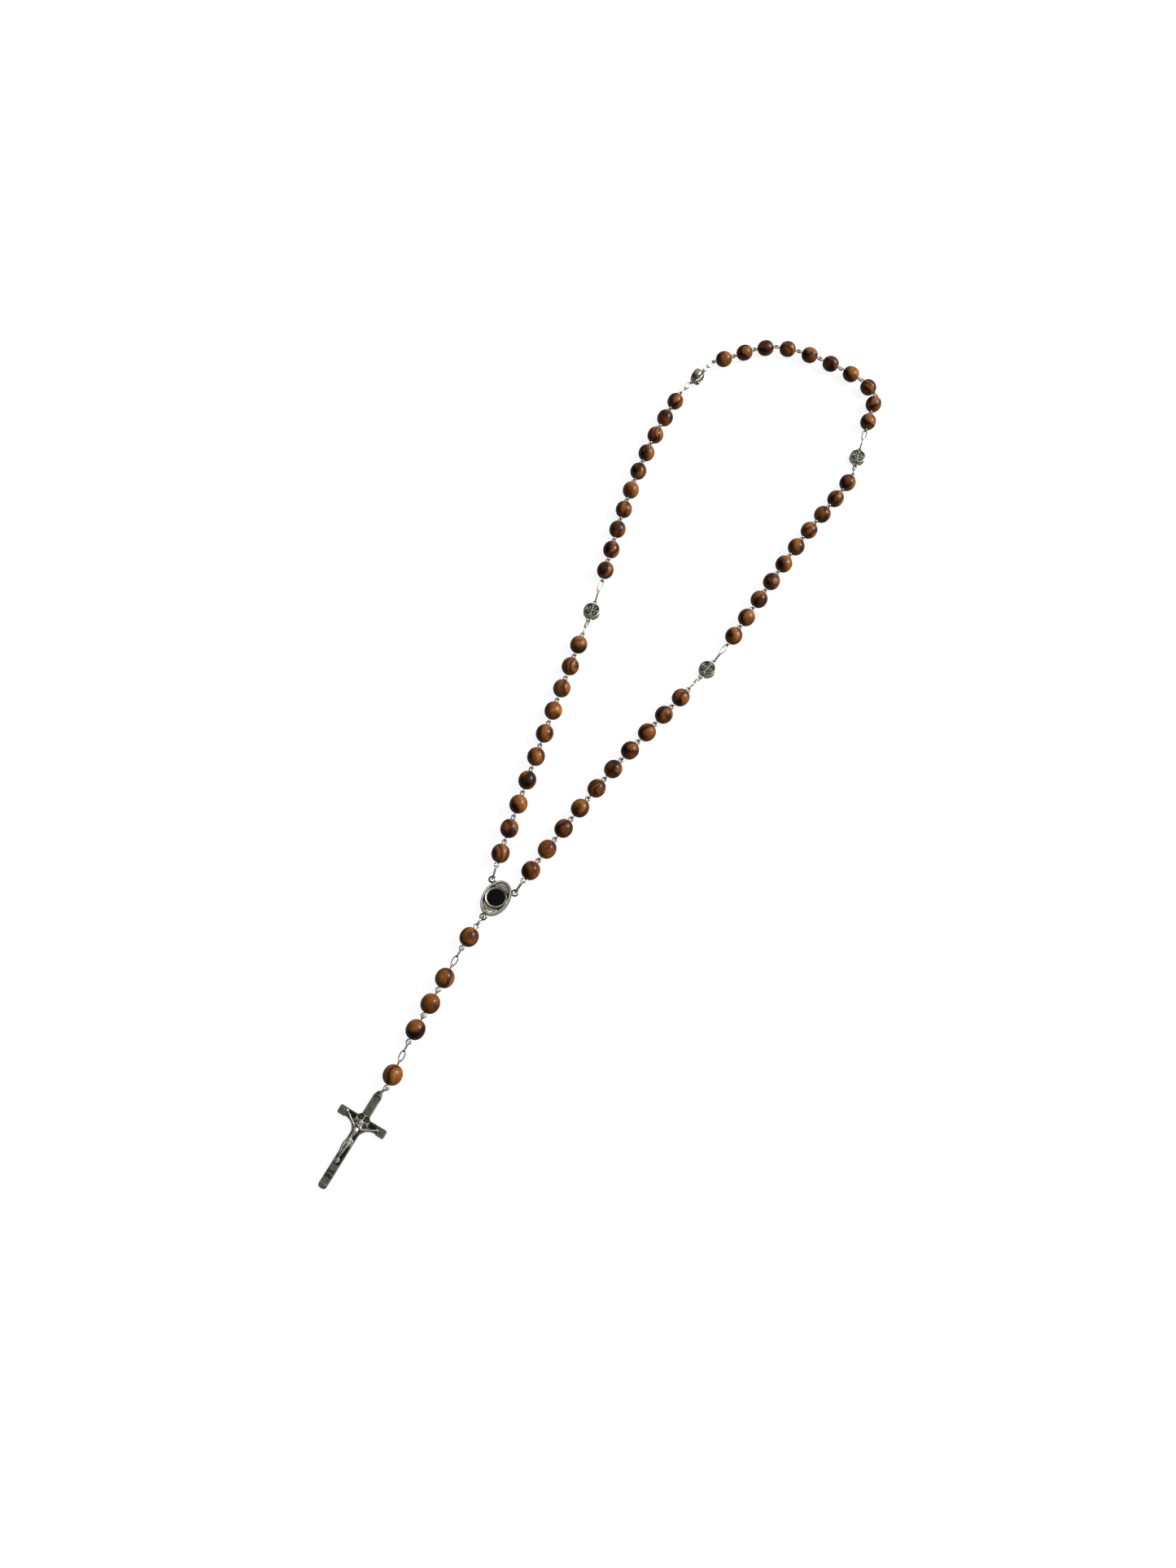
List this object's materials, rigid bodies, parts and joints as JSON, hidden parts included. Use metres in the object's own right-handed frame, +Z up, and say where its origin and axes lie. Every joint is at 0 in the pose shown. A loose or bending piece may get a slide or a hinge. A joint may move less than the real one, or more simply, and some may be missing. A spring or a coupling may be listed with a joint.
{
  "type": "rosary",
  "caption": "Rosary of varnished wooden beads on linked wire eye pins, with coin medals between the decades, an oval centrepiece and a short pendant ending in a crucifix, lying flat.",
  "frame": {"origin": "centre of the bounding box, on the surface the rosary lies on", "axes": "+Y up the loop, away from the crucifix; +Z up from the surface, towards the front of the medals"},
  "size_m": [0.1052, 0.4748, 0.0082],
  "materials": {
    "varnished_wood": "varnished, strong dark grain",
    "antique_silver": "polished high spots, dark recesses",
    "dark_pewter": "antiqued, satin",
    "black_disc": "polished black with faint speckles"
  },
  "bodies": {
    "centrepiece": {"centrepiece_frame": "antique_silver", "centrepiece_disc": "black_disc"},
    "decade_1_bead_01": {"decade_1_bead_01": "varnished_wood"},
    "decade_1_bead_02": {"decade_1_bead_02": "varnished_wood"},
    "decade_1_bead_03": {"decade_1_bead_03": "varnished_wood"},
    "decade_1_bead_04": {"decade_1_bead_04": "varnished_wood"},
    "decade_1_bead_05": {"decade_1_bead_05": "varnished_wood"},
    "decade_1_bead_06": {"decade_1_bead_06": "varnished_wood"},
    "decade_1_bead_07": {"decade_1_bead_07": "varnished_wood"},
    "decade_1_bead_08": {"decade_1_bead_08": "varnished_wood"},
    "decade_1_bead_09": {"decade_1_bead_09": "varnished_wood"},
    "decade_1_bead_10": {"decade_1_bead_10": "varnished_wood"},
    "medal_1": {"medal_1": "antique_silver"},
    "decade_2_bead_01": {"decade_2_bead_01": "varnished_wood"},
    "decade_2_bead_02": {"decade_2_bead_02": "varnished_wood"},
    "decade_2_bead_03": {"decade_2_bead_03": "varnished_wood"},
    "decade_2_bead_04": {"decade_2_bead_04": "varnished_wood"},
    "decade_2_bead_05": {"decade_2_bead_05": "varnished_wood"},
    "decade_2_bead_06": {"decade_2_bead_06": "varnished_wood"},
    "decade_2_bead_07": {"decade_2_bead_07": "varnished_wood"},
    "decade_2_bead_08": {"decade_2_bead_08": "varnished_wood"},
    "decade_2_bead_09": {"decade_2_bead_09": "varnished_wood"},
    "decade_2_bead_10": {"decade_2_bead_10": "varnished_wood"},
    "medal_2": {"medal_2": "antique_silver"},
    "decade_3_bead_01": {"decade_3_bead_01": "varnished_wood"},
    "decade_3_bead_02": {"decade_3_bead_02": "varnished_wood"},
    "decade_3_bead_03": {"decade_3_bead_03": "varnished_wood"},
    "decade_3_bead_04": {"decade_3_bead_04": "varnished_wood"},
    "decade_3_bead_05": {"decade_3_bead_05": "varnished_wood"},
    "decade_5_bead_10": {"decade_5_bead_10": "varnished_wood"},
    "decade_5_bead_09": {"decade_5_bead_09": "varnished_wood"},
    "decade_5_bead_08": {"decade_5_bead_08": "varnished_wood"},
    "decade_5_bead_07": {"decade_5_bead_07": "varnished_wood"},
    "decade_5_bead_06": {"decade_5_bead_06": "varnished_wood"},
    "decade_5_bead_05": {"decade_5_bead_05": "varnished_wood"},
    "decade_5_bead_04": {"decade_5_bead_04": "varnished_wood"},
    "decade_5_bead_03": {"decade_5_bead_03": "varnished_wood"},
    "decade_5_bead_02": {"decade_5_bead_02": "varnished_wood"},
    "decade_5_bead_01": {"decade_5_bead_01": "varnished_wood"},
    "medal_4": {"medal_4": "antique_silver"},
    "decade_4_bead_10": {"decade_4_bead_10": "varnished_wood"},
    "decade_4_bead_09": {"decade_4_bead_09": "varnished_wood"},
    "decade_4_bead_08": {"decade_4_bead_08": "varnished_wood"},
    "decade_4_bead_07": {"decade_4_bead_07": "varnished_wood"},
    "decade_4_bead_06": {"decade_4_bead_06": "varnished_wood"},
    "decade_4_bead_05": {"decade_4_bead_05": "varnished_wood"},
    "decade_4_bead_04": {"decade_4_bead_04": "varnished_wood"},
    "decade_4_bead_03": {"decade_4_bead_03": "varnished_wood"},
    "decade_4_bead_02": {"decade_4_bead_02": "varnished_wood"},
    "decade_4_bead_01": {"decade_4_bead_01": "varnished_wood"},
    "medal_3": {"medal_3": "antique_silver"},
    "decade_3_bead_10": {"decade_3_bead_10": "varnished_wood"},
    "decade_3_bead_09": {"decade_3_bead_09": "varnished_wood"},
    "decade_3_bead_08": {"decade_3_bead_08": "varnished_wood"},
    "decade_3_bead_07": {"decade_3_bead_07": "varnished_wood"},
    "decade_3_bead_06": {"decade_3_bead_06": "varnished_wood"},
    "pendant_bead_1": {"pendant_bead_1": "varnished_wood"},
    "pendant_beads_2_to_4": {"pendant_beads_2_to_4": "varnished_wood"},
    "pendant_bead_5": {"pendant_bead_5": "varnished_wood"},
    "crucifix": {"crucifix": "dark_pewter"}
  },
  "joints": [
    {"name": "loop_spread", "type": "hinge", "parent": "centrepiece", "child": "decade_1_bead_01", "pos_m": [-0.00396, -0.09657, 0.0022], "axis": [0, 0, 1], "range_deg": [-6, 24]},
    {"name": "decade_1_bead_02_hinge", "type": "hinge", "parent": "decade_1_bead_01", "child": "decade_1_bead_02", "pos_m": [-0.0075, -0.07971, 0.004], "axis": [0, 0, 1], "range_deg": [-7.13, 7.13]},
    {"name": "decade_1_bead_03_hinge", "type": "hinge", "parent": "decade_1_bead_02", "child": "decade_1_bead_03", "pos_m": [-0.00962, -0.06789, 0.004], "axis": [0, 0, 1], "range_deg": [-1.73, 0.43]},
    {"name": "decade_1_bead_04_hinge", "type": "hinge", "parent": "decade_1_bead_03", "child": "decade_1_bead_04", "pos_m": [-0.01175, -0.05607, 0.004], "axis": [0, 0, 1], "range_deg": [-1.08, 1.08]},
    {"name": "decade_1_bead_05_hinge", "type": "hinge", "parent": "decade_1_bead_04", "child": "decade_1_bead_05", "pos_m": [-0.01391, -0.04426, 0.004], "axis": [0, 0, 1], "range_deg": [-2.32, 0.58]},
    {"name": "decade_1_bead_06_hinge", "type": "hinge", "parent": "decade_1_bead_05", "child": "decade_1_bead_06", "pos_m": [-0.01605, -0.03244, 0.004], "axis": [0, 0, 1], "range_deg": [-0.79, 0.79]},
    {"name": "decade_1_bead_07_hinge", "type": "hinge", "parent": "decade_1_bead_06", "child": "decade_1_bead_07", "pos_m": [-0.01814, -0.02061, 0.004], "axis": [0, 0, 1], "range_deg": [-3.91, 0.98]},
    {"name": "decade_1_bead_08_hinge", "type": "hinge", "parent": "decade_1_bead_07", "child": "decade_1_bead_08", "pos_m": [-0.02019, -0.00878, 0.004], "axis": [0, 0, 1], "range_deg": [-0.81, 0.81]},
    {"name": "decade_1_bead_09_hinge", "type": "hinge", "parent": "decade_1_bead_08", "child": "decade_1_bead_09", "pos_m": [-0.02221, 0.00306, 0.004], "axis": [0, 0, 1], "range_deg": [-6.19, 1.55]},
    {"name": "decade_1_bead_10_hinge", "type": "hinge", "parent": "decade_1_bead_09", "child": "decade_1_bead_10", "pos_m": [-0.0242, 0.0149, 0.004], "axis": [0, 0, 1], "range_deg": [-7.98, 7.98]},
    {"name": "medal_1_hinge", "type": "hinge", "parent": "decade_1_bead_10", "child": "medal_1", "pos_m": [-0.02613, 0.02676, 0.004], "axis": [0, 0, 1], "range_deg": [-7.25, 1.81]},
    {"name": "decade_2_bead_01_hinge", "type": "hinge", "parent": "medal_1", "child": "decade_2_bead_01", "pos_m": [-0.03166, 0.05675, 0.004], "axis": [0, 0, 1], "range_deg": [-9.88, 9.88]},
    {"name": "decade_2_bead_02_hinge", "type": "hinge", "parent": "decade_2_bead_01", "child": "decade_2_bead_02", "pos_m": [-0.03452, 0.06842, 0.004], "axis": [0, 0, 1], "range_deg": [-3.66, 0.92]},
    {"name": "decade_2_bead_03_hinge", "type": "hinge", "parent": "decade_2_bead_02", "child": "decade_2_bead_03", "pos_m": [-0.03735, 0.08009, 0.004], "axis": [0, 0, 1], "range_deg": [-0.81, 0.81]},
    {"name": "decade_2_bead_04_hinge", "type": "hinge", "parent": "decade_2_bead_03", "child": "decade_2_bead_04", "pos_m": [-0.0401, 0.09178, 0.004], "axis": [0, 0, 1], "range_deg": [-5.6, 1.4]},
    {"name": "decade_2_bead_05_hinge", "type": "hinge", "parent": "decade_2_bead_04", "child": "decade_2_bead_05", "pos_m": [-0.04255, 0.10354, 0.004], "axis": [0, 0, 1], "range_deg": [-1.04, 1.04]},
    {"name": "decade_2_bead_06_hinge", "type": "hinge", "parent": "decade_2_bead_05", "child": "decade_2_bead_06", "pos_m": [-0.04463, 0.11537, 0.004], "axis": [0, 0, 1], "range_deg": [-6.98, 1.75]},
    {"name": "decade_2_bead_07_hinge", "type": "hinge", "parent": "decade_2_bead_06", "child": "decade_2_bead_07", "pos_m": [-0.04639, 0.12725, 0.004], "axis": [0, 0, 1], "range_deg": [-1.75, 1.75]},
    {"name": "decade_2_bead_08_hinge", "type": "hinge", "parent": "decade_2_bead_07", "child": "decade_2_bead_08", "pos_m": [-0.04771, 0.13918, 0.004], "axis": [0, 0, 1], "range_deg": [-7.14, 1.79]},
    {"name": "decade_2_bead_09_hinge", "type": "hinge", "parent": "decade_2_bead_08", "child": "decade_2_bead_09", "pos_m": [-0.0485, 0.15117, 0.004], "axis": [0, 0, 1], "range_deg": [-1.42, 1.42]},
    {"name": "decade_2_bead_10_hinge", "type": "hinge", "parent": "decade_2_bead_09", "child": "decade_2_bead_10", "pos_m": [-0.04887, 0.16317, 0.004], "axis": [0, 0, 1], "range_deg": [-3.44, 0.86]},
    {"name": "medal_2_hinge", "type": "hinge", "parent": "decade_2_bead_10", "child": "medal_2", "pos_m": [-0.04884, 0.17518, 0.004], "axis": [0, 0, 1], "range_deg": [-7.49, 7.49]},
    {"name": "decade_3_bead_01_hinge", "type": "hinge", "parent": "medal_2", "child": "decade_3_bead_01", "pos_m": [-0.04324, 0.20211, 0.004], "axis": [0, 0, 1], "range_deg": [-2.53, 10.13]},
    {"name": "decade_3_bead_02_hinge", "type": "hinge", "parent": "decade_3_bead_01", "child": "decade_3_bead_02", "pos_m": [-0.03544, 0.21124, 0.004], "axis": [0, 0, 1], "range_deg": [-11.3, 11.3]},
    {"name": "decade_3_bead_03_hinge", "type": "hinge", "parent": "decade_3_bead_02", "child": "decade_3_bead_03", "pos_m": [-0.02817, 0.2208, 0.004], "axis": [0, 0, 1], "range_deg": [-1.06, 4.25]},
    {"name": "decade_3_bead_04_hinge", "type": "hinge", "parent": "decade_3_bead_03", "child": "decade_3_bead_04", "pos_m": [-0.01901, 0.22856, 0.004], "axis": [0, 0, 1], "range_deg": [-1.1, 1.1]},
    {"name": "decade_3_bead_05_hinge", "type": "hinge", "parent": "decade_3_bead_04", "child": "decade_3_bead_05", "pos_m": [-0.00753, 0.23209, 0.004], "axis": [0, 0, 1], "range_deg": [-0.68, 2.72]},
    {"name": "loop_sway", "type": "hinge", "parent": "centrepiece", "child": "decade_5_bead_10", "pos_m": [0.00753, -0.09718, 0.0022], "axis": [0, 0, 1], "range_deg": [-18, 18]},
    {"name": "decade_5_bead_09_hinge", "type": "hinge", "parent": "decade_5_bead_10", "child": "decade_5_bead_09", "pos_m": [0.00946, -0.08005, 0.004], "axis": [0, 0, 1], "range_deg": [-22.38, 5.59]},
    {"name": "decade_5_bead_08_hinge", "type": "hinge", "parent": "decade_5_bead_09", "child": "decade_5_bead_08", "pos_m": [0.01106, -0.06815, 0.004], "axis": [0, 0, 1], "range_deg": [-10.37, 10.37]},
    {"name": "decade_5_bead_07_hinge", "type": "hinge", "parent": "decade_5_bead_08", "child": "decade_5_bead_07", "pos_m": [0.01281, -0.05627, 0.004], "axis": [0, 0, 1], "range_deg": [-1.41, 0.35]},
    {"name": "decade_5_bead_06_hinge", "type": "hinge", "parent": "decade_5_bead_07", "child": "decade_5_bead_06", "pos_m": [0.01468, -0.04441, 0.004], "axis": [0, 0, 1], "range_deg": [-1.32, 1.32]},
    {"name": "decade_5_bead_05_hinge", "type": "hinge", "parent": "decade_5_bead_06", "child": "decade_5_bead_05", "pos_m": [0.0167, -0.03257, 0.004], "axis": [0, 0, 1], "range_deg": [-1.2, 4.79]},
    {"name": "decade_5_bead_04_hinge", "type": "hinge", "parent": "decade_5_bead_05", "child": "decade_5_bead_04", "pos_m": [0.01894, -0.02077, 0.004], "axis": [0, 0, 1], "range_deg": [-0.81, 0.81]},
    {"name": "decade_5_bead_03_hinge", "type": "hinge", "parent": "decade_5_bead_04", "child": "decade_5_bead_03", "pos_m": [0.02147, -0.00903, 0.004], "axis": [0, 0, 1], "range_deg": [-1.27, 5.08]},
    {"name": "decade_5_bead_02_hinge", "type": "hinge", "parent": "decade_5_bead_03", "child": "decade_5_bead_02", "pos_m": [0.02419, 0.00267, 0.004], "axis": [0, 0, 1], "range_deg": [-0.81, 0.81]},
    {"name": "decade_5_bead_01_hinge", "type": "hinge", "parent": "decade_5_bead_02", "child": "decade_5_bead_01", "pos_m": [0.027, 0.01435, 0.004], "axis": [0, 0, 1], "range_deg": [-0.53, 2.12]},
    {"name": "medal_4_hinge", "type": "hinge", "parent": "decade_5_bead_01", "child": "medal_4", "pos_m": [0.02985, 0.02601, 0.004], "axis": [0, 0, 1], "range_deg": [-2.57, 2.57]},
    {"name": "decade_4_bead_10_hinge", "type": "hinge", "parent": "medal_4", "child": "decade_4_bead_10", "pos_m": [0.03552, 0.05547, 0.004], "axis": [0, 0, 1], "range_deg": [-2.72, 10.87]},
    {"name": "decade_4_bead_09_hinge", "type": "hinge", "parent": "decade_4_bead_10", "child": "decade_4_bead_09", "pos_m": [0.03653, 0.06744, 0.004], "axis": [0, 0, 1], "range_deg": [-3.47, 3.47]},
    {"name": "decade_4_bead_08_hinge", "type": "hinge", "parent": "decade_4_bead_09", "child": "decade_4_bead_08", "pos_m": [0.03758, 0.0794, 0.004], "axis": [0, 0, 1], "range_deg": [-1.52, 6.09]},
    {"name": "decade_4_bead_07_hinge", "type": "hinge", "parent": "decade_4_bead_08", "child": "decade_4_bead_07", "pos_m": [0.03861, 0.09137, 0.004], "axis": [0, 0, 1], "range_deg": [-0.81, 0.81]},
    {"name": "decade_4_bead_06_hinge", "type": "hinge", "parent": "decade_4_bead_07", "child": "decade_4_bead_06", "pos_m": [0.03967, 0.10333, 0.004], "axis": [0, 0, 1], "range_deg": [-1.29, 5.15]},
    {"name": "decade_4_bead_05_hinge", "type": "hinge", "parent": "decade_4_bead_06", "child": "decade_4_bead_05", "pos_m": [0.04083, 0.11529, 0.004], "axis": [0, 0, 1], "range_deg": [-0.81, 0.81]},
    {"name": "decade_4_bead_04_hinge", "type": "hinge", "parent": "decade_4_bead_05", "child": "decade_4_bead_04", "pos_m": [0.04217, 0.12722, 0.004], "axis": [0, 0, 1], "range_deg": [-1.27, 5.08]},
    {"name": "decade_4_bead_03_hinge", "type": "hinge", "parent": "decade_4_bead_04", "child": "decade_4_bead_03", "pos_m": [0.04398, 0.13909, 0.004], "axis": [0, 0, 1], "range_deg": [-0.81, 0.81]},
    {"name": "decade_4_bead_02_hinge", "type": "hinge", "parent": "decade_4_bead_03", "child": "decade_4_bead_02", "pos_m": [0.04607, 0.15092, 0.004], "axis": [0, 0, 1], "range_deg": [-1.66, 6.64]},
    {"name": "decade_4_bead_01_hinge", "type": "hinge", "parent": "decade_4_bead_02", "child": "decade_4_bead_01", "pos_m": [0.04801, 0.16277, 0.004], "axis": [0, 0, 1], "range_deg": [-4.95, 4.95]},
    {"name": "medal_3_hinge", "type": "hinge", "parent": "decade_4_bead_01", "child": "medal_3", "pos_m": [0.04895, 0.17475, 0.004], "axis": [0, 0, 1], "range_deg": [-0.35, 1.39]},
    {"name": "decade_3_bead_10_hinge", "type": "hinge", "parent": "medal_3", "child": "decade_3_bead_10", "pos_m": [0.04392, 0.2028, 0.004], "axis": [0, 0, 1], "range_deg": [-6.3, 6.3]},
    {"name": "decade_3_bead_09_hinge", "type": "hinge", "parent": "decade_3_bead_10", "child": "decade_3_bead_09", "pos_m": [0.04183, 0.21463, 0.004], "axis": [0, 0, 1], "range_deg": [-9.94, 2.48]},
    {"name": "decade_3_bead_08_hinge", "type": "hinge", "parent": "decade_3_bead_09", "child": "decade_3_bead_08", "pos_m": [0.03991, 0.22648, 0.004], "axis": [0, 0, 1], "range_deg": [-4.75, 4.75]},
    {"name": "decade_3_bead_07_hinge", "type": "hinge", "parent": "decade_3_bead_08", "child": "decade_3_bead_07", "pos_m": [0.02931, 0.23211, 0.004], "axis": [0, 0, 1], "range_deg": [-0.27, 1.08]},
    {"name": "decade_3_bead_06_hinge", "type": "hinge", "parent": "decade_3_bead_07", "child": "decade_3_bead_06", "pos_m": [0.01735, 0.23326, 0.004], "axis": [0, 0, 1], "range_deg": [-3.33, 3.33]},
    {"name": "pendant_swing", "type": "hinge", "parent": "centrepiece", "child": "pendant_bead_1", "pos_m": [0.00095, -0.1127, 0.0022], "axis": [0, 0, 1], "range_deg": [-50, 50]},
    {"name": "pendant_middle_bend", "type": "hinge", "parent": "pendant_bead_1", "child": "pendant_beads_2_to_4", "pos_m": [0.00014, -0.12918, 0.004], "axis": [0, 0, -1], "range_deg": [-50, 50]},
    {"name": "pendant_last_bead_bend", "type": "hinge", "parent": "pendant_beads_2_to_4", "child": "pendant_bead_5", "pos_m": [0.00093, -0.17311, 0.004], "axis": [0, 0, 1], "range_deg": [-50, 50]},
    {"name": "crucifix_lift", "type": "hinge", "parent": "pendant_bead_5", "child": "crucifix", "pos_m": [0.00224, -0.19379, 0.004], "axis": [-0.9997, 0.0243, 0], "range_deg": [0, 70]}
  ],
  "couplings": [
    {"joint": "decade_1_bead_02_hinge", "follows": "loop_sway", "ratio": 0.39626},
    {"joint": "decade_1_bead_03_hinge", "follows": "loop_spread", "ratio": -0.072267},
    {"joint": "decade_1_bead_04_hinge", "follows": "loop_sway", "ratio": -0.05995},
    {"joint": "decade_1_bead_05_hinge", "follows": "loop_spread", "ratio": -0.096832},
    {"joint": "decade_1_bead_06_hinge", "follows": "loop_sway", "ratio": -0.043876},
    {"joint": "decade_1_bead_07_hinge", "follows": "loop_spread", "ratio": -0.16276},
    {"joint": "decade_1_bead_08_hinge", "follows": "loop_sway", "ratio": -0.045},
    {"joint": "decade_1_bead_09_hinge", "follows": "loop_spread", "ratio": -0.25775},
    {"joint": "decade_1_bead_10_hinge", "follows": "loop_sway", "ratio": 0.44347},
    {"joint": "medal_1_hinge", "follows": "loop_spread", "ratio": -0.30209},
    {"joint": "decade_2_bead_01_hinge", "follows": "loop_sway", "ratio": -0.54915},
    {"joint": "decade_2_bead_02_hinge", "follows": "loop_spread", "ratio": -0.15259},
    {"joint": "decade_2_bead_03_hinge", "follows": "loop_sway", "ratio": -0.045},
    {"joint": "decade_2_bead_04_hinge", "follows": "loop_spread", "ratio": -0.23314},
    {"joint": "decade_2_bead_05_hinge", "follows": "loop_sway", "ratio": 0.057852},
    {"joint": "decade_2_bead_06_hinge", "follows": "loop_spread", "ratio": -0.29097},
    {"joint": "decade_2_bead_07_hinge", "follows": "loop_sway", "ratio": 0.097351},
    {"joint": "decade_2_bead_08_hinge", "follows": "loop_spread", "ratio": -0.29768},
    {"joint": "decade_2_bead_09_hinge", "follows": "loop_sway", "ratio": 0.078648},
    {"joint": "decade_2_bead_10_hinge", "follows": "loop_spread", "ratio": -0.14338},
    {"joint": "medal_2_hinge", "follows": "loop_sway", "ratio": 0.41607},
    {"joint": "decade_3_bead_01_hinge", "follows": "loop_spread", "ratio": 0.42217},
    {"joint": "decade_3_bead_02_hinge", "follows": "loop_sway", "ratio": -0.62777},
    {"joint": "decade_3_bead_03_hinge", "follows": "loop_spread", "ratio": 0.17723},
    {"joint": "decade_3_bead_04_hinge", "follows": "loop_sway", "ratio": -0.060878},
    {"joint": "decade_3_bead_05_hinge", "follows": "loop_spread", "ratio": 0.1134},
    {"joint": "decade_5_bead_09_hinge", "follows": "loop_spread", "ratio": -0.93236},
    {"joint": "decade_5_bead_08_hinge", "follows": "loop_sway", "ratio": -0.576},
    {"joint": "decade_5_bead_07_hinge", "follows": "loop_spread", "ratio": -0.058641},
    {"joint": "decade_5_bead_06_hinge", "follows": "loop_sway", "ratio": -0.073597},
    {"joint": "decade_5_bead_05_hinge", "follows": "loop_spread", "ratio": 0.19944},
    {"joint": "decade_5_bead_04_hinge", "follows": "loop_sway", "ratio": -0.045},
    {"joint": "decade_5_bead_03_hinge", "follows": "loop_spread", "ratio": 0.21164},
    {"joint": "decade_5_bead_02_hinge", "follows": "loop_sway", "ratio": -0.045},
    {"joint": "decade_5_bead_01_hinge", "follows": "loop_spread", "ratio": 0.088154},
    {"joint": "medal_4_hinge", "follows": "loop_sway", "ratio": -0.14276},
    {"joint": "decade_4_bead_10_hinge", "follows": "loop_spread", "ratio": 0.45294},
    {"joint": "decade_4_bead_09_hinge", "follows": "loop_sway", "ratio": 0.19255},
    {"joint": "decade_4_bead_08_hinge", "follows": "loop_spread", "ratio": 0.25371},
    {"joint": "decade_4_bead_07_hinge", "follows": "loop_sway", "ratio": -0.045},
    {"joint": "decade_4_bead_06_hinge", "follows": "loop_spread", "ratio": 0.21456},
    {"joint": "decade_4_bead_05_hinge", "follows": "loop_sway", "ratio": -0.045},
    {"joint": "decade_4_bead_04_hinge", "follows": "loop_spread", "ratio": 0.21177},
    {"joint": "decade_4_bead_03_hinge", "follows": "loop_sway", "ratio": -0.045},
    {"joint": "decade_4_bead_02_hinge", "follows": "loop_spread", "ratio": 0.27684},
    {"joint": "decade_4_bead_01_hinge", "follows": "loop_sway", "ratio": 0.27498},
    {"joint": "medal_3_hinge", "follows": "loop_spread", "ratio": 0.05798},
    {"joint": "decade_3_bead_10_hinge", "follows": "loop_sway", "ratio": -0.34985},
    {"joint": "decade_3_bead_09_hinge", "follows": "loop_spread", "ratio": -0.41405},
    {"joint": "decade_3_bead_08_hinge", "follows": "loop_sway", "ratio": 0.26372},
    {"joint": "decade_3_bead_07_hinge", "follows": "loop_spread", "ratio": 0.045},
    {"joint": "decade_3_bead_06_hinge", "follows": "loop_sway", "ratio": -0.18499}
  ]
}
